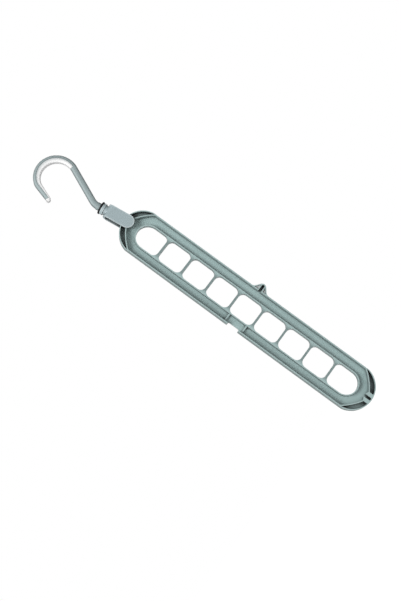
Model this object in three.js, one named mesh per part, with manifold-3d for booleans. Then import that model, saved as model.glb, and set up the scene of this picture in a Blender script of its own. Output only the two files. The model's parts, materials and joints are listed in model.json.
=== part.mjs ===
// Nine-hole folding garment hanger: a long moulded frame with nine openings for garments, hung by a
// swivel hook. The hook turns in the neck of a fork. The fork straddles the round end of the frame,
// and its stub pin sits in a seat at the tip, so that the frame folds to either side.
//
// Millimetres, +Z up, front of the frame towards -Y. The origin is the rod seat, the highest point
// of the hook's liner, where the hanger rests on a rail. The frame hangs plumb, and the fork leans.
import * as THREE from "three";
import { mergeVertices } from "three/addons/utils/BufferGeometryUtils.js";
import Module from "manifold-3d";

const wasm = await Module();
wasm.setup();

// Clearances: between pieces that touch, between pieces that slide on each other, and the length by
// which a cut runs past a face.
const seatGap = 0.3;
const slideGap = 0.4;
const clear = 1;

// Garment frame: a channel moulding that is open to the front and closed by a floor at the back.
const frameLength = 364;
const frameWidth = 56.6;
const frameDepth = 9;
const floorThickness = 1.6;
const wallThickness = 1.5;
const endBulge = 0.6;

// Ladder of garment holes, with a thin lip round the whole row. The first and last hole are longer.
const holeCount = 9;
const holeWidth = 29.6;
const holeCornerRadius = 6.7;
const barWidth = 2.8;
const lipWidth = 1.4;
const lipDrop = 2.5;
const endBand = 21.6;
const endHoleExtra = 3.2;

// Pointed arch at each end: a thin ridge that guides the pin from the channel to the flanks of the
// tip seat. Depths are from the tip of the frame.
const archSpring = 27;
const archShoulderWidth = 21.5;
const archShoulderDepth = 19.8;
const archWaistWidth = 14;
const archWaistDepth = 13.2;
const archFootWidth = 6.2;
const archFootDepth = 8.6;
const flankDepth = 10.2;
const ridgeThickness = 1.3;
const endRim = 1.2;
const tipBlockWidth = 13;

// Pin seats: one at each tip and one in the thin-walled lug on the long side.
const pinDiameter = 3;
const lugBase = 19.2;
const lugReach = 9.2;
const lugNoseRadius = 4.8;
const lugRim = 1.2;
const lugBlend = 2.4;
const lugPocketDepth = 2.5;

// Assembly gate on the side across from the lug: the wall is open between two ribs that stop the pin.
const gateLength = 15.6;
const gateDepth = 3.8;
const gateCornerRadius = 1.5;
const ribSpacing = 24.8;
const ribWidth = 2;
const ribHeight = 3;

// Fork: a strap over the frame's two faces, with round-ended leaves, and the neck of the swivel.
const leafWidth = 16.9;
const leafThickness = 2.4;
const leafDrop = 1.8;
const foldGap = 1.2;
const bridgeThickness = 3;
const crownRadius = 6;
const hollowRadius = 0.8;
const neckDiameter = 12.8;
const neckRingDiameter = 14.7;
const neckRingHeight = 3.2;
const neckLength = 5.7;
const forkLean = THREE.MathUtils.degToRad(6.9);

// Swivel: a washer on the neck, and a screw with its own washer under the bridge.
const spigotDiameter = 6;
const swivelWasherDiameter = 15.9;
const swivelWasherThickness = 2.1;
const thrustWasherDiameter = 9;
const thrustWasherThickness = 0.8;
const screwDiameter = 3.2;
const screwGrip = 15;
const screwHeadDiameter = 6.4;
const screwHeadHeight = 2;
const screwSlotWidth = 1;
const screwSlotDepth = 0.9;

// Hook: a bar of rounded section. Its bow ends in a knee and a straight run out to the tip.
const barThickness = 8.2;
const barDepth = 9.4;
const barCornerRadius = 3.4;
const bowRadius = 24.05;
const bowRise = 100.3;
const bowOffset = 5.6;
const bowEndAngle = THREE.MathUtils.degToRad(138.2);
const kneeRadius = 10;
const kneeTurn = THREE.MathUtils.degToRad(19.7);
const tipRun = 20.5;
const shankBendRise = 43.9;
const shankBendRadius = 15.7;
const shankCollarDiameter = 9.8;
const shankCollarHeight = 4;
const backStripThickness = 3.8;

// Soft liner: a crescent on the inside of the bow, round about a centre below that of the bow and
// towards the tip. Its thickness counts from the middle of the bar. It runs flat along the tip and
// laps over its end.
const linerThickness = 4.15;
const linerDepth = 8.8;
const linerSink = 1.2;
const linerShift = 0.5;
const linerStartAngle = THREE.MathUtils.degToRad(-27);
const linerFlatAngle = THREE.MathUtils.degToRad(152);
const linerCapLength = 3.8;
const linerCapRadius = 2.5;

// Facets: segments on a quarter turn, and steps along the arch and along the hook.
const holeSegments = 4;
const endSegments = 12;
const roundSegments = 32;
const barSegments = 4;
const archSteps = 10;
const hookSteps = 64;
const bowSteps = 36;

// Values that follow from the sizes above.
const frontY = -frameDepth / 2;
const backY = frameDepth / 2;
const floorY = backY - floorThickness;
const lipY = frontY + lipDrop;
const frameTip = frameLength / 2;
const halfWidth = frameWidth / 2;
const endRadius = halfWidth + endBulge;
const channelSide = halfWidth - wallThickness;
const holeHalf = holeWidth / 2;
const lipHalf = holeHalf + lipWidth;
const holeRowTip = frameTip - endBand;
const lipTip = holeRowTip + lipWidth;
const holePitch = (2 * (holeRowTip - endHoleExtra) + barWidth) / holeCount;
const seatRadius = pinDiameter / 2 + seatGap;
const tipSeatDepth = endRim + seatRadius;
const tipSeat = frameTip - tipSeatDepth;
const lugNose = halfWidth + lugReach - lugNoseRadius;
const lugSeat = halfWidth + lugReach - lugRim - seatRadius;
const lugTurn = Math.asin(lugNoseRadius / Math.hypot(lugBase / 2, lugNose - halfWidth));
const lugSlope = Math.atan2(lugBase / 2, lugNose - halfWidth) - lugTurn;
const leafInnerY = backY + slideGap;
const forkHalfDepth = leafInnerY + leafThickness;
const foldedOffset = endRadius - tipSeatDepth - leafWidth / 2;
const forkReach = Math.sqrt(endRadius ** 2 - foldedOffset ** 2) + foldGap;
const neckBase = forkReach + bridgeThickness;
const neckTop = neckBase + neckLength;
const washerTop = neckTop + seatGap + swivelWasherThickness;
const shankBase = washerTop + seatGap;
const thrustTop = forkReach - seatGap;
const screwHeadTop = thrustTop - thrustWasherThickness - seatGap;
const bedOffset = barThickness / 2 - backStripThickness;
const linerRadius = bowRadius - linerThickness;
const bowCentre = new THREE.Vector2(bowOffset, bowRise);
const linerCentre = new THREE.Vector2(bowOffset - linerShift, bowRise - linerSink);
const tipAngle = bowEndAngle + kneeTurn;
const kneeCentre = towards(bowCentre, bowEndAngle, bowRadius - kneeRadius);

const plastic = new THREE.MeshStandardMaterial({ color: 0x96abaa, roughness: 0.5, metalness: 0 });
const forkPlastic = new THREE.MeshStandardMaterial({ color: 0x9fb0b3, roughness: 0.5, metalness: 0 });
const hookPlastic = new THREE.MeshStandardMaterial({ color: 0x98abab, roughness: 0.45, metalness: 0 });
const softWhite = new THREE.MeshStandardMaterial({ color: 0xf0efee, roughness: 0.7, metalness: 0 });
const darkRubber = new THREE.MeshStandardMaterial({ color: 0x1b1f20, roughness: 0.7, metalness: 0 });
const zincSteel = new THREE.MeshStandardMaterial({ color: 0xb8bcc0, roughness: 0.35, metalness: 1 });
const washerSteel = new THREE.MeshStandardMaterial({ color: 0xaab0b4, roughness: 0.4, metalness: 1 });

// The point at a distance from a centre, in a direction.
function towards(centre, angle, distance) {
  const away = new THREE.Vector2(Math.cos(angle), Math.sin(angle));
  return away.multiplyScalar(distance).add(centre);
}

// A closed geometry as a solid that can be joined and cut.
function solid(geometry) {
  const bare = geometry.clone();
  bare.deleteAttribute("normal");
  bare.deleteAttribute("uv");
  const merged = mergeVertices(bare, 1e-4);
  const vertProperties = new Float32Array(merged.attributes.position.array);
  const triVerts = new Uint32Array(merged.index.array);
  return new wasm.Manifold(new wasm.Mesh({ numProp: 3, vertProperties, triVerts }));
}

// The named mesh of a finished solid.
function piece(name, made, material) {
  const { vertProperties, triVerts } = made.getMesh();
  const geometry = new THREE.BufferGeometry();
  geometry.setAttribute("position", new THREE.BufferAttribute(vertProperties, 3));
  geometry.setIndex(new THREE.BufferAttribute(triVerts, 1));
  geometry.computeVertexNormals();
  const mesh = new THREE.Mesh(geometry, material);
  mesh.name = name;
  return mesh;
}

// A shape drawn in X and Z, as a plate between two depths.
function plate(shape, nearY, farY, curveSegments = endSegments) {
  const depth = farY - nearY;
  const geometry = new THREE.ExtrudeGeometry(shape, { depth, bevelEnabled: false, curveSegments });
  return solid(geometry.rotateX(Math.PI / 2).translate(0, farY, 0));
}

// A closed profile of radius and height, turned about the Z axis.
function turned(profile) {
  const points = profile.map(([radius, height]) => new THREE.Vector2(radius, height));
  return solid(new THREE.LatheGeometry(points, roundSegments).rotateX(Math.PI / 2));
}

function rod(diameter, bottom, top) {
  const radius = diameter / 2;
  return turned([[0, bottom], [radius, bottom], [radius, top], [0, top]]);
}

function ring(bore, diameter, bottom, top) {
  const inner = bore / 2;
  const outer = diameter / 2;
  return turned([[inner, bottom], [outer, bottom], [outer, top], [inner, top], [inner, bottom]]);
}

// A rectangle in X and Z, as a shape.
function rectangle(left, bottom, right, top) {
  const corners = [[left, bottom], [right, bottom], [right, top], [left, top]];
  return new THREE.Shape(corners.map(([x, z]) => new THREE.Vector2(x, z)));
}

// A long upright shape with straight sides and a round end at each tip.
function longShape(path, half, radius, tip) {
  const centre = tip - radius;
  const corner = Math.acos(half / radius);
  path.absarc(0, centre, radius, corner, Math.PI - corner);
  path.absarc(0, -centre, radius, Math.PI + corner, 2 * Math.PI - corner);
  return path;
}

// An upright block with two round corners at the top.
function roundTopped(half, bottom, top, radius) {
  const shape = new THREE.Shape();
  shape.moveTo(-half, bottom);
  shape.lineTo(half, bottom);
  shape.absarc(half - radius, top - radius, radius, 0, Math.PI / 2);
  shape.absarc(radius - half, top - radius, radius, Math.PI / 2, Math.PI);
  return shape;
}

// One garment hole. The first and the last hole of the row have a half-round outer end.
function garmentHole(index) {
  const centre = (index - (holeCount - 1) / 2) * holePitch;
  const half = (holePitch - barWidth) / 2;
  const isLowest = index === 0;
  const isHighest = index === holeCount - 1;
  const topRadius = isHighest ? holeHalf : holeCornerRadius;
  const bottomRadius = isLowest ? holeHalf : holeCornerRadius;
  const top = (isHighest ? holeRowTip : centre + half) - topRadius;
  const bottom = (isLowest ? -holeRowTip : centre - half) + bottomRadius;
  const topSide = holeHalf - topRadius;
  const bottomSide = holeHalf - bottomRadius;
  const hole = new THREE.Shape();
  hole.moveTo(holeHalf, bottom);
  hole.lineTo(holeHalf, top);
  hole.absarc(topSide, top, topRadius, 0, Math.PI / 2);
  hole.absarc(-topSide, top, topRadius, Math.PI / 2, Math.PI);
  hole.lineTo(-holeHalf, bottom);
  hole.absarc(-bottomSide, bottom, bottomRadius, Math.PI, 1.5 * Math.PI);
  hole.absarc(bottomSide, bottom, bottomRadius, 1.5 * Math.PI, 2 * Math.PI);
  return plate(hole, frontY - clear, backY + clear, holeSegments);
}

// The loop of the channel's outer edge: straight sides, a pointed arch at each end, and the flanks of
// the tip seat, which stand up beside its slot. A positive offset moves the arch outwards.
function archLoop(offset) {
  const arch = new THREE.CubicBezierCurve(
    new THREE.Vector2(channelSide, frameTip - archSpring),
    new THREE.Vector2(archShoulderWidth, frameTip - archShoulderDepth),
    new THREE.Vector2(archWaistWidth, frameTip - archWaistDepth),
    new THREE.Vector2(archFootWidth, frameTip - archFootDepth),
  );
  const quarter = [];
  for (let i = 0; i <= archSteps; i += 1) {
    const point = arch.getPoint(i / archSteps);
    const along = arch.getTangent(i / archSteps);
    quarter.push(new THREE.Vector2(point.x + along.y * offset, point.y - along.x * offset));
  }
  quarter.push(new THREE.Vector2(seatRadius, frameTip - flankDepth));
  const mirrored = (sx, sz) => quarter.map((p) => new THREE.Vector2(sx * p.x, sz * p.y));
  return new THREE.Shape([
    ...quarter,
    ...mirrored(-1, 1).reverse(),
    ...mirrored(-1, -1),
    ...mirrored(1, -1).reverse(),
  ]);
}

// The slot that leads from the channel at "from" to a pin seat at "to", drawn along +X.
function seatSlot(from, to) {
  const slot = new THREE.Shape();
  slot.moveTo(from, -seatRadius);
  slot.lineTo(to, -seatRadius);
  slot.absarc(to, 0, seatRadius, -Math.PI / 2, Math.PI / 2);
  slot.lineTo(from, seatRadius);
  return plate(slot, frontY - clear, floorY, holeSegments);
}

// The triangular lug with a round nose, which stands out of the long side and is blended into it.
function lug() {
  const half = lugBase / 2;
  const root = halfWidth - wallThickness / 2;
  const touch = Math.PI / 2 - lugSlope;
  const blendX = halfWidth + lugBlend * Math.cos(lugSlope);
  const blendZ = half - lugBlend * Math.sin(lugSlope);
  const shape = new THREE.Shape();
  shape.moveTo(root, -half - lugBlend);
  shape.lineTo(halfWidth, -half - lugBlend);
  shape.quadraticCurveTo(halfWidth, -half, blendX, -blendZ);
  shape.absarc(lugNose, 0, lugNoseRadius, -touch, touch);
  shape.lineTo(blendX, blendZ);
  shape.quadraticCurveTo(halfWidth, half, halfWidth, half + lugBlend);
  shape.lineTo(root, half + lugBlend);
  return plate(shape, frontY, backY, holeSegments);
}

// The two shallow pockets that leave the lug with a thin rim and a wall on each side of its pin seat.
function lugPockets() {
  const foot = lugBase / 2 - lugRim / Math.cos(lugSlope);
  const touch = Math.PI / 2 - lugSlope;
  const wall = seatRadius + lugRim;
  const shape = new THREE.Shape();
  shape.absarc(lugNose, 0, lugNoseRadius - lugRim, -touch, touch);
  shape.lineTo(halfWidth, foot);
  shape.lineTo(halfWidth, -foot);
  const seatWalls = rectangle(channelSide, -wall, halfWidth + lugReach, wall);
  return plate(shape, frontY - clear, frontY + lugPocketDepth, holeSegments)
    .subtract(plate(seatWalls, frontY - 2 * clear, backY));
}

// The opening in the wall and in the edge of the floor where the fork's pin goes in.
function gate() {
  const half = gateLength / 2;
  const outside = -halfWidth - clear;
  const cornerX = gateDepth - halfWidth - gateCornerRadius;
  const cornerZ = half - gateCornerRadius;
  const shape = new THREE.Shape();
  shape.absarc(cornerX, -cornerZ, gateCornerRadius, -Math.PI / 2, 0);
  shape.absarc(cornerX, cornerZ, gateCornerRadius, 0, Math.PI / 2);
  shape.lineTo(outside, half);
  shape.lineTo(outside, -half);
  return plate(shape, frontY - clear, backY + clear, holeSegments);
}

// One of the two ribs across the channel, above and below the gate.
function stopRib(centre) {
  const half = ribWidth / 2;
  const shape = rectangle(-halfWidth, centre - half, 0, centre + half);
  return plate(shape, floorY - ribHeight, backY);
}

// The two crescent pockets between the arch's ridge and the round rim, at the end on side "sign".
function endPockets(sign) {
  const disc = new THREE.Shape();
  disc.absarc(0, sign * (frameTip - endRadius), endRadius - endRim, 0, 2 * Math.PI);
  const half = tipBlockWidth / 2;
  const tipBlock = rectangle(-half, -frameLength, half, frameLength);
  return plate(disc, frontY - clear, floorY, 2 * endSegments)
    .subtract(plate(archLoop(ridgeThickness), frontY - 2 * clear, backY))
    .subtract(plate(tipBlock, frontY - 2 * clear, backY));
}

function garmentFrame() {
  const outer = longShape(new THREE.Shape(), halfWidth, endRadius, frameTip);
  const lip = longShape(new THREE.Shape(), lipHalf, lipHalf, lipTip);
  const channel = archLoop(0);
  channel.holes.push(longShape(new THREE.Path(), lipHalf, lipHalf, lipTip));
  const channelCut = plate(channel, frontY - clear, floorY)
    .subtract(stopRib(ribSpacing / 2))
    .subtract(stopRib(-ribSpacing / 2));
  let body = plate(outer, frontY, backY).add(lug());
  body = body.subtract(plate(lip, frontY - clear, lipY)).subtract(channelCut);
  for (const sign of [1, -1]) {
    const turn = -90 * sign;
    body = body.subtract(endPockets(sign));
    body = body.subtract(seatSlot(lipTip, tipSeat).rotate([0, turn, 0]));
  }
  body = body.subtract(lugPockets()).subtract(seatSlot(channelSide - clear, lugSeat));
  body = body.subtract(gate());
  for (let index = 0; index < holeCount; index += 1) {
    body = body.subtract(garmentHole(index));
  }
  return piece("garment_frame", body, plastic);
}

// The fork, about its pin at the origin, with the swivel axis along +Z.
function fork() {
  const half = leafWidth / 2;
  const bottom = -leafDrop - leafWidth;
  const leaf = new THREE.Shape();
  leaf.moveTo(half, neckBase);
  leaf.lineTo(-half, neckBase);
  leaf.absarc(0, -leafDrop, half, Math.PI, 2 * Math.PI);
  const outside = roundTopped(forkHalfDepth, bottom, neckBase, crownRadius);
  const hollow = roundTopped(leafInnerY, bottom - clear, forkReach, hollowRadius);
  const neckRoot = neckBase - crownRadius;
  const neck = turned([
    [0, neckRoot],
    [neckDiameter / 2, neckRoot],
    [neckDiameter / 2, neckTop - neckRingHeight],
    [neckRingDiameter / 2, neckTop - neckRingHeight],
    [neckRingDiameter / 2, neckTop],
    [0, neckTop],
  ]);
  const pinEnd = floorY - slideGap;
  const pin = rod(pinDiameter, -pinEnd, forkHalfDepth - leafThickness / 2).rotate([90, 0, 0]);
  const bore = rod(spigotDiameter + 2 * seatGap, forkReach - clear, neckTop + clear);
  const body = plate(outside, -half, half).rotate([0, 0, 90])
    .intersect(plate(leaf, -2 * forkHalfDepth, 2 * forkHalfDepth))
    .add(neck)
    .subtract(plate(hollow, -leafWidth, leafWidth).rotate([0, 0, 90]))
    .add(pin)
    .subtract(bore);
  return piece("fork", body, forkPlastic);
}

function swivelWasher() {
  const bore = spigotDiameter + 2 * seatGap;
  const body = ring(bore, swivelWasherDiameter, neckTop + seatGap, washerTop);
  return piece("swivel_washer", body, darkRubber);
}

function thrustWasher() {
  const bore = screwDiameter + 2 * seatGap;
  const body = ring(bore, thrustWasherDiameter, thrustTop - thrustWasherThickness, thrustTop);
  return piece("thrust_washer", body, washerSteel);
}

// The screw that holds the hook's spigot in the neck, with a cross slot in its head.
function swivelScrew() {
  const headBottom = screwHeadTop - screwHeadHeight;
  const slotTop = headBottom + screwSlotDepth;
  const reach = screwHeadDiameter;
  const long = rectangle(-reach, headBottom - clear, reach, slotTop);
  const short = rectangle(-screwSlotWidth / 2, headBottom - clear, screwSlotWidth / 2, slotTop);
  const body = rod(screwHeadDiameter, headBottom, screwHeadTop)
    .add(rod(screwDiameter, headBottom + screwSlotDepth + seatGap, forkReach + screwGrip))
    .subtract(plate(long, -screwSlotWidth / 2, screwSlotWidth / 2))
    .subtract(plate(short, -reach, reach));
  return piece("swivel_screw", body, zincSteel);
}

// A curve in the plane of the hook, as a path for an extrusion.
class PlaneCurve extends THREE.Curve {
  constructor(path) {
    super();
    this.path = path;
  }

  getPoint(t, target = new THREE.Vector3()) {
    const point = this.path.getPointAt(t);
    return target.set(point.x, 0, point.y);
  }
}

// A bar of rounded section that follows a path in the plane of the hook.
function bar(path, thickness, depth, cornerRadius, steps) {
  const x = depth / 2 - cornerRadius;
  const y = thickness / 2 - cornerRadius;
  const section = new THREE.Shape();
  section.absarc(x, y, cornerRadius, 0, Math.PI / 2);
  section.absarc(-x, y, cornerRadius, Math.PI / 2, Math.PI);
  section.absarc(-x, -y, cornerRadius, Math.PI, 1.5 * Math.PI);
  section.absarc(x, -y, cornerRadius, 1.5 * Math.PI, 2 * Math.PI);
  const extrudePath = new PlaneCurve(path);
  const curveSegments = barSegments;
  return solid(new THREE.ExtrudeGeometry(section, { extrudePath, steps, curveSegments }));
}

// Points on an arc about a centre.
function arcPoints(centre, radius, from, to) {
  const points = [];
  for (let i = 0; i <= bowSteps; i += 1) {
    points.push(towards(centre, from + ((to - from) * i) / bowSteps, radius));
  }
  return points;
}

// The point on the straight run out to the tip, at a distance from the knee and from the bar's middle.
function onTip(run, offset) {
  const foot = towards(kneeCentre, tipAngle, kneeRadius + offset);
  return towards(foot, tipAngle + Math.PI / 2, run);
}

// The hook: its shank rises from the washer, bends aside, and runs into the bow at a tangent.
function hook() {
  const toBow = Math.atan2(bowOffset, bowRise - shankBendRise);
  const distance = Math.hypot(bowOffset, bowRise - shankBendRise);
  const armTilt = toBow + Math.asin(bowRadius / distance);
  const bendStart = shankBendRise - shankBendRadius * Math.tan(armTilt / 2);
  const tip = onTip(tipRun, 0);
  const path = new THREE.Path();
  path.moveTo(0, shankBase + clear);
  path.lineTo(0, bendStart);
  path.absarc(shankBendRadius, bendStart, shankBendRadius, Math.PI, Math.PI - armTilt, true);
  path.absarc(bowCentre.x, bowCentre.y, bowRadius, -armTilt, bowEndAngle);
  path.absarc(kneeCentre.x, kneeCentre.y, kneeRadius, bowEndAngle, tipAngle);
  path.lineTo(tip.x, tip.y);
  const collarTop = shankBase + shankCollarHeight;
  const collar = turned([
    [0, forkReach],
    [spigotDiameter / 2, forkReach],
    [spigotDiameter / 2, shankBase],
    [shankCollarDiameter / 2, shankBase],
    [shankCollarDiameter / 2, collarTop],
    [0, collarTop],
  ]);
  const pilotTop = forkReach + screwGrip + seatGap;
  const pilot = rod(screwDiameter + 2 * seatGap, forkReach - clear, pilotTop);
  const linerBed = new THREE.Shape([
    ...arcPoints(bowCentre, bowRadius + bedOffset, linerStartAngle, bowEndAngle),
    onTip(0, bedOffset),
    onTip(tipRun + barThickness, bedOffset),
    bowCentre,
  ]);
  const body = bar(path, barThickness, barDepth, barCornerRadius, hookSteps)
    .add(collar)
    .subtract(plate(linerBed, -barDepth, barDepth))
    .subtract(pilot);
  return piece("hook", body, hookPlastic);
}

// The soft liner, from a square start on the arm's shoulder to the cap over the end of the tip.
function hookLiner() {
  const backOffset = bedOffset - seatGap;
  const start = linerStartAngle + seatGap / linerRadius;
  const startWay = towards(new THREE.Vector2(), start, 1);
  const between = linerCentre.clone().sub(bowCentre);
  const ahead = startWay.dot(between);
  const startReach = ahead + Math.sqrt(ahead ** 2 - between.lengthSq() + linerRadius ** 2);
  const freeStart = towards(bowCentre, start, startReach).sub(linerCentre);
  const capStart = tipRun + seatGap;
  const capEnd = capStart + linerCapLength;
  const flatStart = towards(linerCentre, linerFlatAngle, linerRadius);
  const flatAngle = linerFlatAngle + Math.PI / 2;
  const along = new THREE.Vector2(-Math.sin(tipAngle), Math.cos(tipAngle));
  const flatRun = capEnd - flatStart.clone().sub(onTip(0, 0)).dot(along);
  const flatLength = flatRun / Math.cos(linerFlatAngle - tipAngle);
  const flatEnd = towards(flatStart, flatAngle, flatLength);
  const capWidth = onTip(capEnd, barThickness / 2).distanceTo(flatEnd);
  const shape = new THREE.Shape([
    ...arcPoints(bowCentre, bowRadius + backOffset, start, bowEndAngle),
    onTip(0, backOffset),
    onTip(capStart, backOffset),
    onTip(capStart, barThickness / 2),
    onTip(capEnd - linerCapRadius, barThickness / 2),
    onTip(capEnd, barThickness / 2 - linerCapRadius),
    onTip(capEnd, barThickness / 2 + linerCapRadius - capWidth),
    towards(flatStart, flatAngle, flatLength - linerCapRadius),
    ...arcPoints(linerCentre, linerRadius, linerFlatAngle, Math.atan2(freeStart.y, freeStart.x)),
  ]);
  return piece("hook_liner", plate(shape, -linerDepth / 2, linerDepth / 2), softWhite);
}

// The hook and the fork lean to one side of the frame's long axis, about the pin in the tip seat.
const leaning = new THREE.Group();
leaning.rotation.y = -forkLean;
leaning.add(fork(), swivelWasher(), thrustWasher(), swivelScrew(), hook(), hookLiner());

const linerMiddle = new THREE.Vector3(linerCentre.x, 0, linerCentre.y).applyEuler(leaning.rotation);
const rodSeat = linerMiddle.clone().add(new THREE.Vector3(0, 0, linerRadius));
leaning.position.copy(rodSeat).negate();

const frame = garmentFrame();
frame.position.copy(leaning.position).add(new THREE.Vector3(0, 0, -tipSeat));

const hanger = new THREE.Group();
hanger.name = "folding_hanger";
hanger.add(leaning, frame);

export default hanger;
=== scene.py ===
import json
import math

import bmesh
import bpy
from mathutils import Matrix, Vector


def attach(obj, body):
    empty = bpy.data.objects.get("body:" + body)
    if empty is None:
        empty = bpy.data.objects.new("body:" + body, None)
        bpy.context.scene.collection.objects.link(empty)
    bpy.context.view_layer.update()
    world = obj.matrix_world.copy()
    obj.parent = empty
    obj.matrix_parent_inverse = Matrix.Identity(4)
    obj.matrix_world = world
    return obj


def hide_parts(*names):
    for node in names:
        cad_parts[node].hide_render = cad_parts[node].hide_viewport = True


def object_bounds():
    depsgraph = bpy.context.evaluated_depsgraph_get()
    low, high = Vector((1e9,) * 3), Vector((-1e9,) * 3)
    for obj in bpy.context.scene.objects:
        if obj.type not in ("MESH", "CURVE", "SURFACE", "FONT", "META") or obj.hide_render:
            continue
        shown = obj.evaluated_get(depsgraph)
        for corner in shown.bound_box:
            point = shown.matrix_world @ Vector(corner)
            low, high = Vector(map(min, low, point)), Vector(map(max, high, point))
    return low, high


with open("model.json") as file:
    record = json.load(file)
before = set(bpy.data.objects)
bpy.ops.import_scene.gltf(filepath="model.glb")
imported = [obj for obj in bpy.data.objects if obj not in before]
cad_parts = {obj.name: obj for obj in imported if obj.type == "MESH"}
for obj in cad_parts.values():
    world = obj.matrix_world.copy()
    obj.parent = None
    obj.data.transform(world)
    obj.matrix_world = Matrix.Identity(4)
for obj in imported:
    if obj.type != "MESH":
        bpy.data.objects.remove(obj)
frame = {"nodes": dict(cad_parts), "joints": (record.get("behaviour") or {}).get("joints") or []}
cad_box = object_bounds()
nodes = frame["nodes"]
swivel, fold = frame["joints"]

# Camera: the point it is aimed at, where it stands from there, and its lens and sensor in mm.
AIM = Vector((-0.01702, 0.0, -0.24815))
CAMERA_DISTANCE = 1.29
CAMERA_BEARING = math.radians(13.23)
CAMERA_DROP = math.radians(4.8)
PICTURE_ROLL = math.radians(53.787)
LENS = 65.01
SENSOR = 36.0

# Studio: the hanger hangs clear of the floor. A key lamp stands above and to the left of the
# camera, and a back lamp keeps the other side from going dark.
FLOOR_DROP = 0.4
FLOOR_SIZE = 12.0
FLOOR_ROUGHNESS = 0.9
FLOOR_GLOW = 0.8
WORLD_LIGHT = 0.2
LAMPS = {
    "key_lamp": dict(at=(-1.5, -1.85, 1.4), power=82.0, size=1.4),
    "back_lamp": dict(at=(1.2, 2.0, 1.2), power=34.0, size=1.4),
}

# Colours, linear.
FRAME_GREY = (0.302, 0.405, 0.399, 1.0)
# Painted light on the lug's webs.
WEB_LIT_GREY = (0.640, 0.690, 0.690, 1.0)
FORK_GREY = (0.288, 0.355, 0.372, 1.0)
HOOK_GREY = (0.240, 0.295, 0.300, 1.0)
# Edge colours of the frame and the fork: painted highlights on their edges.
FRAME_HIGHLIGHT_GREY = (0.340, 0.370, 0.370, 1.0)
FORK_HIGHLIGHT_GREY = (0.620, 0.680, 0.690, 1.0)
LINER_WHITE = (0.77, 0.77, 0.77, 1.0)
WASHER_BLACK = (0.004, 0.005, 0.006, 1.0)
WASHER_STEEL = (0.40, 0.43, 0.45, 1.0)
SCREW_ZINC = (0.48, 0.50, 0.52, 1.0)
FLOOR_WHITE = (0.82, 0.82, 0.82, 1.0)
STUDIO_WHITE = (1.0, 1.0, 1.0, 1.0)

# Grain of the mould: a fine texture, a soft one, the soft one's share, and the height of the bump.
FINE_GRAIN, FINE_DETAIL = 1800.0, 3.0
SOFT_GRAIN, SOFT_DETAIL = 140.0, 2.0
SOFT_SHARE = 0.8
GRAIN_HEIGHT = 0.0002

# Flow of the resin: its noise, the range that counts, and what it does to colour and shine.
FLOW_SCALE, FLOW_DETAIL, FLOW_ROUGHNESS = 26.0, 4.0, 0.6
FLOW_LOW, FLOW_HIGH = 0.3, 0.7
RESIN_DARK, RESIN_LIGHT = 0.96, 1.04
RESIN_SHINE = 0.05

# Painted edge highlight: how far it reaches, how much the surface turns there, and how open it
# lies.
HIGHLIGHT_REACH = 0.0006
HIGHLIGHT_SAMPLES = 6
HIGHLIGHT_START, HIGHLIGHT_FULL = 0.02, 0.25
OPEN_REACH = 0.003
OPEN_START, OPEN_FULL = 0.55, 0.85

# Painted shade in recesses: how far they are felt, and the openness that counts as closed and as
# open.
RECESS_REACH = 0.012
RECESS_SAMPLES = 12
RECESS_CLOSED, RECESS_OPEN = 0.17, 0.53

# Painted shade on sides that turn away from the eye: where it starts and where it is full.
SIDE_START, SIDE_FULL = 0.25, 0.85

# Steel: the scale of its unevenness, and what that does to colour and roughness.
STEEL_SCALE = 300.0
STEEL_DARK, STEEL_LIGHT = 0.85, 1.1
STEEL_SMOOTHER, STEEL_ROUGHER = 0.08, 0.12

# Frame: its middle, the reach of the bars across it, the row of holes along it, the tone of the
# painted shade on the bars, and the lug's place, with the depth of its rim and the facing of its
# webs, which get painted light.
FRAME_X, FRAME_Z = 0.00684, -0.2979
BAR_REACH, BAR_BLEND = 0.0142, 0.004
HOLE_ROW, ROW_BLEND = 0.135, 0.001
BAR_SHADE_TONE = 0.55
LUG_START, LUG_SLOT, LUG_RIM, LUG_BLEND = 0.0284, 0.0024, -0.0034, 0.0004
FRONT_START, FRONT_FULL = -0.7, -0.9

# Facets: what is joined, what is shaded smooth, what counts as flat, and which edges are rounded.
WELD = 0.00001
SMOOTH_ANGLE = math.radians(32.0)
FLAT_ANGLE = math.radians(0.5)
ROUND_ANGLE = math.radians(35.0)
ROUND_SEGMENTS = 2

# Liner: its bed in the bow of the hook, from the hook's own sizes, with the swivel axis upright and
# the fork's pin at the origin.
BOW_CENTRE = Vector((0.0056, 0.1003))
BED_RADIUS = 0.02430
BOW_END = math.radians(138.2)
KNEE_RADIUS = 0.01025
KNEE_TURN = math.radians(19.7)
TIP_RUN = 0.02055
CAP_LAP = 0.00385

# Liner: its free side, a circle that runs out into a flat, and its cap over the hook's tip.
LINER_CENTRE = Vector((0.0051, 0.0991))
LINER_RADIUS = 0.0199
LINER_DEPTH = 0.0088
LINER_START = math.radians(-26.8)
START_SLACK = 0.2
LINER_FLAT = math.radians(152.0)
LINER_CAP = 0.00405

# Liner: its corners, the most that they and the grey band along its bed take of its width, and its
# ends.
SOFT_CORNER, BED_CORNER, LEAST_CORNER = 0.0021, 0.0006, 0.0002
CORNER_SHARE = 0.48
BED_GREY_WIDTH, BED_GREY_SHARE = 0.0016, 0.4
START_ROUND = 0.0005
CAP_ROUND, CAP_CLOSING = 0.0033, 0.9

# Liner: steps along the bow, the knee and the tip, round each corner, and over both ends. The
# rounded start takes the place of the first stations.
BOW_STEPS, KNEE_STEPS, TIP_STEPS = 56, 6, 12
CORNER_STEPS = 5
START_STEPS, START_STATIONS = 5, 2
CAP_STEPS, CAP_ROUND_STEPS = 3, 6

# Sockets of a mix node that hold its factor, its two colours and its result.
MIX_FACTOR, MIX_FIRST, MIX_SECOND, MIX_RESULT = 0, 6, 7, 2


def feed(tree, value, socket):
    """Links an output socket to an input, or gives the input a plain value."""
    if isinstance(value, bpy.types.NodeSocket):
        tree.links.new(value, socket)
    else:
        socket.default_value = value


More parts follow.
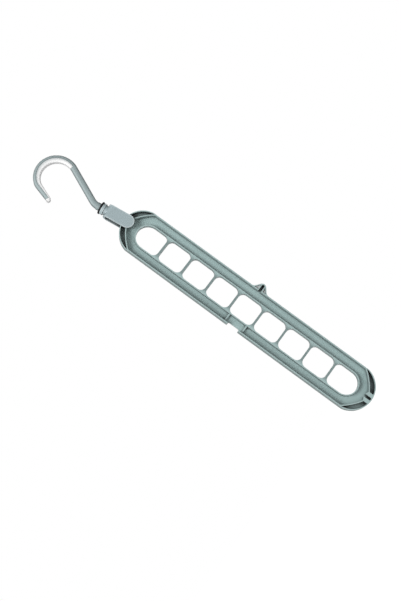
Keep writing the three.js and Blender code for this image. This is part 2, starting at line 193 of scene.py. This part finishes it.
def effect(name, inputs, output):
    """An empty shader node group, with its named inputs (name: default) and its output."""
    tree = bpy.data.node_groups.new(name, "ShaderNodeTree")
    for socket, default in inputs.items():
        made = tree.interface.new_socket(socket, in_out="INPUT", socket_type="NodeSocketFloat")
        made.default_value = default
    tree.interface.new_socket(output, in_out="OUTPUT", socket_type="NodeSocketFloat")
    return tree, tree.nodes.new("NodeGroupInput"), tree.nodes.new("NodeGroupOutput")


def math_node(tree, operation, first, second=0.0):
    """A math node on two sockets or numbers. Gives its output socket."""
    node = tree.nodes.new("ShaderNodeMath")
    node.operation = operation
    feed(tree, first, node.inputs[0])
    feed(tree, second, node.inputs[1])
    return node.outputs[0]


def noise(tree, scale, detail, roughness=0.5):
    """Noise in the object's own space. Gives the output socket."""
    spot = tree.nodes.new("ShaderNodeTexCoord")
    node = tree.nodes.new("ShaderNodeTexNoise")
    tree.links.new(spot.outputs["Object"], node.inputs["Vector"])
    feed(tree, scale, node.inputs["Scale"])
    node.inputs["Detail"].default_value = detail
    node.inputs["Roughness"].default_value = roughness
    return node.outputs["Fac"]


def stretch(tree, value, low, high, to_low=0.0, to_high=1.0):
    """Maps a socket's range to another, clamped. Gives the output socket."""
    node = tree.nodes.new("ShaderNodeMapRange")
    feed(tree, value, node.inputs["Value"])
    feed(tree, low, node.inputs["From Min"])
    feed(tree, high, node.inputs["From Max"])
    feed(tree, to_low, node.inputs["To Min"])
    feed(tree, to_high, node.inputs["To Max"])
    return node.outputs["Result"]


def mould_grain():
    """The fine satin texture of the mould: a height for a bump."""
    tree, given, made = effect("mould_grain", {"Scale": FINE_GRAIN}, "Height")
    fine = noise(tree, given.outputs["Scale"], FINE_DETAIL)
    soft = math_node(tree, "MULTIPLY", noise(tree, SOFT_GRAIN, SOFT_DETAIL), SOFT_SHARE)
    tree.links.new(math_node(tree, "ADD", fine, soft), made.inputs["Height"])
    return tree


def resin_flow():
    """Slow unevenness of the resin's colour and shine, from 0 to 1."""
    tree, given, made = effect("resin_flow", {"Scale": FLOW_SCALE}, "Fac")
    slow = noise(tree, given.outputs["Scale"], FLOW_DETAIL, FLOW_ROUGHNESS)
    tree.links.new(stretch(tree, slow, FLOW_LOW, FLOW_HIGH), made.inputs["Fac"])
    return tree


def painted_edge_highlight():
    """Painted highlight where edges stand out and would catch the light, from 0 to 1."""
    tree, given, made = effect("painted_edge_highlight", {"Radius": HIGHLIGHT_REACH}, "Mask")
    bevel = tree.nodes.new("ShaderNodeBevel")
    bevel.samples = HIGHLIGHT_SAMPLES
    tree.links.new(given.outputs["Radius"], bevel.inputs["Radius"])
    surface = tree.nodes.new("ShaderNodeNewGeometry")
    turn = tree.nodes.new("ShaderNodeVectorMath")
    turn.operation = "DOT_PRODUCT"
    tree.links.new(bevel.outputs["Normal"], turn.inputs[0])
    tree.links.new(surface.outputs["Normal"], turn.inputs[1])
    bent = math_node(tree, "SUBTRACT", 1.0, turn.outputs["Value"])
    open_side = tree.nodes.new("ShaderNodeAmbientOcclusion")
    open_side.inputs["Distance"].default_value = OPEN_REACH
    outward = stretch(tree, open_side.outputs["AO"], OPEN_START, OPEN_FULL)
    mask = math_node(tree, "MULTIPLY", stretch(tree, bent, HIGHLIGHT_START, HIGHLIGHT_FULL), outward)
    tree.links.new(mask, made.inputs["Mask"])
    return tree


def recess_shade():
    """How deep a spot lies in a recess: 1 in the open, 0 at the bottom of a narrow pocket."""
    reach = {"Distance": RECESS_REACH, "Closed": RECESS_CLOSED, "Open": RECESS_OPEN}
    tree, given, made = effect("recess_shade", reach, "Open")
    hollow = tree.nodes.new("ShaderNodeAmbientOcclusion")
    hollow.samples = RECESS_SAMPLES
    tree.links.new(given.outputs["Distance"], hollow.inputs["Distance"])
    shade = stretch(tree, hollow.outputs["AO"], given.outputs["Closed"], given.outputs["Open"])
    tree.links.new(shade, made.inputs["Open"])
    return tree


GRAIN = mould_grain()
FLOW = resin_flow()
EDGE_HIGHLIGHT = painted_edge_highlight()
SHADE = recess_shade()


def place(material, group, **values):
    """Puts an effect into a material, with its values. Gives the group node."""
    node = material.node_tree.nodes.new("ShaderNodeGroup")
    node.node_tree = group
    for name, value in values.items():
        node.inputs[name].default_value = value
    return node


def mixed(material, factor, first, second):
    """A colour mix of two sockets or colours. Gives the output socket."""
    tree = material.node_tree
    node = tree.nodes.new("ShaderNodeMix")
    node.data_type = "RGBA"
    feed(tree, factor, node.inputs[MIX_FACTOR])
    feed(tree, first, node.inputs[MIX_FIRST])
    feed(tree, second, node.inputs[MIX_SECOND])
    return node.outputs[MIX_RESULT]


def scaled(colour, factor):
    """A colour made lighter or darker."""
    return tuple(min(1.0, part * factor) for part in colour[:3]) + (1.0,)


def new_material(name):
    """A new material and its surface node."""
    material = bpy.data.materials.new(name)
    material.use_nodes = True
    return material, material.node_tree.nodes["Principled BSDF"]


def frame_spot(tree):
    """Where a spot of the frame lies across and along from its middle, its depth and its facing."""
    spot = tree.nodes.new("ShaderNodeTexCoord")
    parts = tree.nodes.new("ShaderNodeSeparateXYZ")
    tree.links.new(spot.outputs["Object"], parts.inputs[0])
    faces = tree.nodes.new("ShaderNodeSeparateXYZ")
    tree.links.new(spot.outputs["Normal"], faces.inputs[0])
    across = math_node(tree, "SUBTRACT", parts.outputs["X"], FRAME_X)
    along = math_node(tree, "SUBTRACT", parts.outputs["Z"], FRAME_Z)
    along = math_node(tree, "ABSOLUTE", along)
    return across, along, parts.outputs["Y"], faces.outputs["Y"]


def shaded_bars(material, colour):
    """Darkens the bars with painted shade."""
    tree = material.node_tree
    across, along, _, _ = frame_spot(tree)
    aside = math_node(tree, "ABSOLUTE", across)
    between = stretch(tree, aside, BAR_REACH - BAR_BLEND, BAR_REACH, 1.0, 0.0)
    in_row = stretch(tree, along, HOLE_ROW - ROW_BLEND, HOLE_ROW, 1.0, 0.0)
    bars = math_node(tree, "MULTIPLY", between, in_row)
    return mixed(material, bars, colour, scaled(FRAME_GREY, BAR_SHADE_TONE))


def lit_webs(material, colour):
    """Paints light on the thin webs of the lug: below its rim, beside its slot and facing the
    front.
    """
    tree = material.node_tree
    across, along, depth, facing = frame_spot(tree)
    on_lug = stretch(tree, across, LUG_START, LUG_START + LUG_BLEND)
    off_slot = stretch(tree, along, LUG_SLOT, LUG_SLOT + LUG_BLEND)
    below_rim = stretch(tree, depth, LUG_RIM, LUG_RIM + LUG_BLEND)
    to_front = stretch(tree, facing, FRONT_START, FRONT_FULL)
    beside = math_node(tree, "MULTIPLY", on_lug, off_slot)
    bottom = math_node(tree, "MULTIPLY", to_front, below_rim)
    webs = math_node(tree, "MULTIPLY", beside, bottom)
    return mixed(material, webs, colour, WEB_LIT_GREY)


def grey_towards_bed(material, colour):
    """Blends the liner's colour from the hook's grey at its bed to white a little way in."""
    thin = material.node_tree.nodes.new("ShaderNodeAttribute")
    thin.attribute_name = "bed_grey"
    return mixed(material, thin.outputs["Fac"], HOOK_GREY, colour)


def moulded(
    name, colour, edge, roughness,
    highlight_reach=HIGHLIGHT_REACH, grain=0.08, depth=0.04, turned=0.5, gloss=0.5,
    recess=None, beneath=None, on_top=None,
):
    """Satin moulded plastic: uneven resin, a painted highlight on its edges, painted shade on sides
    that turn from the eye and in recesses, a fine grain.

    A change of colour can come beneath the painted highlight and shade, or on top of them.
    """
    material, skin = new_material(name)
    tree = material.node_tree
    flow = place(material, FLOW).outputs["Fac"]
    highlighted = place(material, EDGE_HIGHLIGHT, Radius=highlight_reach).outputs["Mask"]
    shade = place(material, SHADE, **(recess or {})).outputs["Open"]
    facing = tree.nodes.new("ShaderNodeLayerWeight")
    away = stretch(tree, facing.outputs["Facing"], SIDE_START, SIDE_FULL)

    tone = mixed(material, flow, scaled(colour, RESIN_DARK), scaled(colour, RESIN_LIGHT))
    if beneath:
        tone = beneath(material, tone)
    # Painted highlight on edges that stand out.
    tone = mixed(material, highlighted, tone, edge)
    # Painted shade on sides that turn away from the eye.
    tone = mixed(material, away, tone, scaled(colour, turned))
    # Painted shade in recesses.
    tone = mixed(material, shade, scaled(colour, depth), tone)
    if on_top:
        tone = on_top(material, tone)
    tree.links.new(tone, skin.inputs["Base Color"])

    skin.inputs["Specular IOR Level"].default_value = gloss
    shine = stretch(tree, flow, 0.0, 1.0, roughness - RESIN_SHINE, roughness + RESIN_SHINE)
    tree.links.new(shine, skin.inputs["Roughness"])
    bump = tree.nodes.new("ShaderNodeBump")
    bump.inputs["Strength"].default_value = grain
    bump.inputs["Distance"].default_value = GRAIN_HEIGHT
    tree.links.new(place(material, GRAIN).outputs["Height"], bump.inputs["Height"])
    tree.links.new(bump.outputs["Normal"], skin.inputs["Normal"])
    return material


def brushed_steel(name, colour, roughness):
    """Plated or stamped steel with an uneven shine."""
    material, skin = new_material(name)
    tree = material.node_tree
    flow = place(material, FLOW, Scale=STEEL_SCALE).outputs["Fac"]
    tone = mixed(material, flow, scaled(colour, STEEL_DARK), scaled(colour, STEEL_LIGHT))
    tree.links.new(tone, skin.inputs["Base Color"])
    shine = stretch(tree, flow, 0.0, 1.0, roughness - STEEL_SMOOTHER, roughness + STEEL_ROUGHER)
    tree.links.new(shine, skin.inputs["Roughness"])
    skin.inputs["Metallic"].default_value = 1.0
    return material


def joined_facets():
    """Joins the facets of a piece and smooths those that meet at a low angle."""
    tree = bpy.data.node_groups.new("joined_facets", "GeometryNodeTree")
    tree.interface.new_socket("Mesh", in_out="INPUT", socket_type="NodeSocketGeometry")
    tree.interface.new_socket("Mesh", in_out="OUTPUT", socket_type="NodeSocketGeometry")
    given = tree.nodes.new("NodeGroupInput")
    made = tree.nodes.new("NodeGroupOutput")
    weld = tree.nodes.new("GeometryNodeMergeByDistance")
    weld.inputs["Distance"].default_value = WELD
    angle = tree.nodes.new("GeometryNodeInputMeshEdgeAngle")
    sharp = tree.nodes.new("FunctionNodeCompare")
    sharp.data_type = "FLOAT"
    sharp.operation = "GREATER_THAN"
    sharp.inputs[1].default_value = SMOOTH_ANGLE
    shading = tree.nodes.new("GeometryNodeSetMeshNormal")
    shading.inputs["Remove Custom"].default_value = True
    tree.links.new(given.outputs["Mesh"], weld.inputs["Geometry"])
    tree.links.new(weld.outputs["Geometry"], shading.inputs["Mesh"])
    tree.links.new(angle.outputs["Unsigned Angle"], sharp.inputs[0])
    tree.links.new(sharp.outputs["Result"], shading.inputs["Edge Sharpness"])
    tree.links.new(shading.outputs["Mesh"], made.inputs["Mesh"])
    return tree


FACETS = joined_facets()


def smooth_facets(piece):
    """Shades a faceted piece as the smooth one it stands for."""
    piece.modifiers.new("smooth_facets", "NODES").node_group = FACETS


def round_edges(piece, width):
    """Rounds the sharp edges of a piece."""
    flat = piece.modifiers.new("merge_facets", "DECIMATE")
    flat.decimate_type = "DISSOLVE"
    flat.angle_limit = FLAT_ANGLE
    bevel = piece.modifiers.new("round_edges", "BEVEL")
    bevel.width = width
    bevel.segments = ROUND_SEGMENTS
    bevel.limit_method = "ANGLE"
    bevel.angle_limit = ROUND_ANGLE
    bevel.harden_normals = True


def dress(name, material, rounding):
    """Gives a CAD node its finish and rounded edges."""
    node = nodes[name]
    node.data.materials.clear()
    node.data.materials.append(material)
    smooth_facets(node)
    round_edges(node, rounding)


def heading(angle):
    """The unit vector of a direction."""
    return Vector((math.cos(angle), math.sin(angle)))


def towards(centre, angle, distance):
    """The point at a distance from a centre, in a direction."""
    return centre + heading(angle) * distance


def liner_inside(bed, inward):
    """The point of the liner's free side that lies straight in from a point on its bed."""
    away = bed - LINER_CENTRE
    near = away.dot(inward)
    root = math.sqrt(max(0.0, near * near - away.length_squared + LINER_RADIUS * LINER_RADIUS))
    hit = bed + inward * (-near - root)
    turn = math.atan2(hit.y - LINER_CENTRE.y, hit.x - LINER_CENTRE.x)
    if LINER_START - START_SLACK < turn < LINER_FLAT:
        return hit
    flat_start = towards(LINER_CENTRE, LINER_FLAT, LINER_RADIUS)
    normal = heading(LINER_FLAT)
    return bed + inward * ((flat_start - bed).dot(normal) / inward.dot(normal))


def liner_section(bed, free, inset, capped):
    """One cross-section of the liner: round on its free side, nearly square in its bed.

    Each point comes with its place in the depth, and its share of the way from the hook's grey, at
    the bed, to white.
    """
    across = (free - bed).normalized()
    width = (free - bed).length
    half = LINER_DEPTH / 2 - inset
    soft = max(LEAST_CORNER, min(SOFT_CORNER, CORNER_SHARE * width) - inset)
    square = max(LEAST_CORNER, min(BED_CORNER, CORNER_SHARE * width) - inset)
    thin = min(BED_GREY_WIDTH, BED_GREY_SHARE * width)
    corners = (
        (width - inset - soft, half - soft, soft),
        (inset + square, half - square, square),
        (inset + square, square - half, square),
        (width - inset - soft, soft - half, soft),
    )
    points = []
    for quarter, (along, depth, radius) in enumerate(corners):
        for step in range(CORNER_STEPS + 1):
            angle = (quarter + step / CORNER_STEPS) * math.pi / 2
            reach = along + radius * math.cos(angle)
            white = 1.0 if capped else min(1.0, reach / thin)
            points.append((bed + across * reach, depth + radius * math.sin(angle), white))
    return points


def liner_stations():
    """Where the liner is cut along its length: a point on its bed, and the way out from there.

    The foot of the hook's tip and the way out from the tip come with them.
    """
    stations = []
    for step in range(BOW_STEPS + 1):
        angle = LINER_START + (BOW_END - LINER_START) * step / BOW_STEPS
        stations.append((towards(BOW_CENTRE, angle, BED_RADIUS), angle))
    knee = towards(BOW_CENTRE, BOW_END, BED_RADIUS - KNEE_RADIUS)
    for step in range(1, KNEE_STEPS + 1):
        angle = BOW_END + KNEE_TURN * step / KNEE_STEPS
        stations.append((towards(knee, angle, KNEE_RADIUS), angle))
    tip_angle = BOW_END + KNEE_TURN
    foot = towards(knee, tip_angle, KNEE_RADIUS)
    for step in range(1, TIP_STEPS + 1):
        run = TIP_RUN * step / TIP_STEPS
        stations.append((towards(foot, tip_angle + math.pi / 2, run), tip_angle))
    return stations, foot, tip_angle


def liner_rings():
    """All cross-sections of the liner, from its start on the arm to the cap over the hook's tip."""
    stations, foot, tip_angle = liner_stations()
    rings = []

    def add(bed, angle, inset=0.0, capped=False):
        free = liner_inside(bed, -heading(angle))
        rings.append(liner_section(bed, free, inset, capped))

    for step in range(START_STEPS):
        turn = step / START_STEPS * math.pi / 2
        angle = LINER_START + START_ROUND * (1 - math.cos(turn)) / BED_RADIUS
        bed = towards(BOW_CENTRE, angle, BED_RADIUS)
        add(bed, angle, START_ROUND * (1 - math.sin(turn)))
    for bed, angle in stations[START_STATIONS:]:
        add(bed, angle)
    along = tip_angle + math.pi / 2
    outside = towards(foot, tip_angle, CAP_LAP)
    for step in range(CAP_STEPS + 1):
        run = TIP_RUN + (LINER_CAP - CAP_ROUND) * step / CAP_STEPS
        add(towards(outside, along, run), tip_angle, capped=True)
    for step in range(1, CAP_ROUND_STEPS + 1):
        turn = step / CAP_ROUND_STEPS * math.pi / 2
        run = TIP_RUN + LINER_CAP - CAP_ROUND * (1 - math.sin(turn))
        inset = CAP_ROUND * (1 - math.cos(turn)) * CAP_CLOSING
        add(towards(outside, along, run), tip_angle, inset, True)
    return rings


def soft_liner(material):
    """The rubber liner of the bow, in place of its plain solid."""
    upright = Vector(swivel["axis"])
    sideways = Vector((upright.z, 0.0, -upright.x))
    deep = Vector((0.0, 1.0, 0.0))
    pin = Vector(fold["pos_m"])
    skin = bmesh.new()
    thin = skin.verts.layers.float.new("bed_grey")
    rings = []
    for ring in liner_rings():
        made = []
        for point, depth, white in ring:
            spot = pin + sideways * point.x + upright * point.y + deep * depth
            vertex = skin.verts.new(spot)
            vertex[thin] = white
            made.append(vertex)
        rings.append(made)
    for first, second in zip(rings, rings[1:]):
        for index in range(len(first)):
            after = (index + 1) % len(first)
            skin.faces.new((first[index], first[after], second[after], second[index]))
    skin.faces.new(reversed(rings[0]))
    skin.faces.new(rings[-1])
    bmesh.ops.recalc_face_normals(skin, faces=skin.faces)
    mesh = bpy.data.meshes.new("bow_liner")
    skin.to_mesh(mesh)
    skin.free()
    mesh.materials.append(material)
    liner = bpy.data.objects.new("bow_liner", mesh)
    bpy.context.scene.collection.objects.link(liner)
    smooth_facets(liner)
    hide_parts("hook_liner")
    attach(liner, "hook")


def seen_rays(tree):
    """1 for rays that the camera, a reflection or glass sends out, and 0 for light."""
    path = tree.nodes.new("ShaderNodeLightPath").outputs
    mirrored = math_node(tree, "MAXIMUM", path["Is Glossy Ray"], path["Is Transmission Ray"])
    return math_node(tree, "MAXIMUM", path["Is Camera Ray"], mirrored)


def white_floor():
    """A white floor far below the hanger, which looks lit however it lies to the lamps."""
    low, _ = cad_box
    bpy.ops.mesh.primitive_grid_add(x_subdivisions=2, y_subdivisions=2, size=FLOOR_SIZE)
    floor = bpy.context.object
    floor.name = "floor"
    floor.location = (0.0, 0.0, low.z - FLOOR_DROP)
    material, skin = new_material("floor_white")
    skin.inputs["Base Color"].default_value = FLOOR_WHITE
    skin.inputs["Roughness"].default_value = FLOOR_ROUGHNESS
    skin.inputs["Emission Color"].default_value = STUDIO_WHITE
    tree = material.node_tree
    glow = math_node(tree, "MULTIPLY", seen_rays(tree), FLOOR_GLOW)
    tree.links.new(glow, skin.inputs["Emission Strength"])
    floor.data.materials.append(material)


def white_surroundings():
    """A world that is seen as white and gives little light of its own."""
    world = bpy.data.worlds.new("white_studio")
    world.use_nodes = True
    bpy.context.scene.world = world
    tree = world.node_tree
    sky = tree.nodes["Background"]
    sky.inputs["Color"].default_value = STUDIO_WHITE
    strength = stretch(tree, seen_rays(tree), 0.0, 1.0, WORLD_LIGHT, 1.0)
    tree.links.new(strength, sky.inputs["Strength"])


def soft_lamps():
    """Large lamps, aimed at the middle of the hanger and out of the camera's sight."""
    low, high = cad_box
    middle = (low + high) / 2
    for name, lamp in LAMPS.items():
        light = bpy.data.lights.new(name, "AREA")
        light.energy = lamp["power"]
        light.size = lamp["size"]
        made = bpy.data.objects.new(name, light)
        made.location = middle + Vector(lamp["at"])
        made.rotation_euler = (-Vector(lamp["at"])).to_track_quat("-Z", "Y").to_euler()
        made.visible_camera = False
        bpy.context.scene.collection.objects.link(made)


def photo_camera():
    """The photograph's viewing angle: from the gate side, a little below, turned on its side."""
    level = math.cos(CAMERA_DROP)
    back = Vector((
        -math.sin(CAMERA_BEARING) * level,
        -math.cos(CAMERA_BEARING) * level,
        -math.sin(CAMERA_DROP),
    ))
    right = (-back).cross(Vector((0.0, 0.0, 1.0))).normalized()
    up = back.cross(right)
    turn = Matrix((right, up, back)).transposed() @ Matrix.Rotation(-PICTURE_ROLL, 3, "Z")
    data = bpy.data.cameras.new("photo_camera")
    data.sensor_width = SENSOR
    data.lens = LENS
    camera = bpy.data.objects.new("photo_camera", data)
    camera.matrix_world = Matrix.Translation(AIM + back * CAMERA_DISTANCE) @ turn.to_4x4()
    bpy.context.scene.collection.objects.link(camera)
    bpy.context.scene.camera = camera


frame_plastic = moulded(
    "frame_plastic", FRAME_GREY, FRAME_HIGHLIGHT_GREY, roughness=0.5, turned=0.38,
    beneath=shaded_bars, on_top=lit_webs,
)
# Strong painted shade in the gap between the fork's leaves.
fork_plastic = moulded(
    "fork_plastic", FORK_GREY, FORK_HIGHLIGHT_GREY, roughness=0.5, turned=0.8,
    highlight_reach=0.0026, recess=dict(Distance=0.02, Closed=0.3, Open=0.9),
)
hook_plastic = moulded("hook_plastic", HOOK_GREY, HOOK_GREY, roughness=0.55, turned=0.32)
dark_rubber = moulded(
    "dark_rubber", WASHER_BLACK, WASHER_BLACK, roughness=0.7, grain=0.2, gloss=0.2,
)
soft_rubber = moulded(
    "soft_rubber", LINER_WHITE, LINER_WHITE, roughness=0.7, turned=0.7,
    grain=0.15, depth=0.9, beneath=grey_towards_bed,
)
washer_steel = brushed_steel("washer_steel", WASHER_STEEL, roughness=0.35)
screw_steel = brushed_steel("screw_steel", SCREW_ZINC, roughness=0.3)

dress("garment_frame", frame_plastic, rounding=0.00035)
dress("fork", fork_plastic, rounding=0.0009)
dress("hook", hook_plastic, rounding=0.0004)
dress("swivel_washer", dark_rubber, rounding=0.0003)
dress("thrust_washer", washer_steel, rounding=0.0001)
dress("swivel_screw", screw_steel, rounding=0.0001)
soft_liner(soft_rubber)

bpy.context.scene.view_settings.view_transform = "Standard"
white_floor()
white_surroundings()
soft_lamps()
photo_camera()
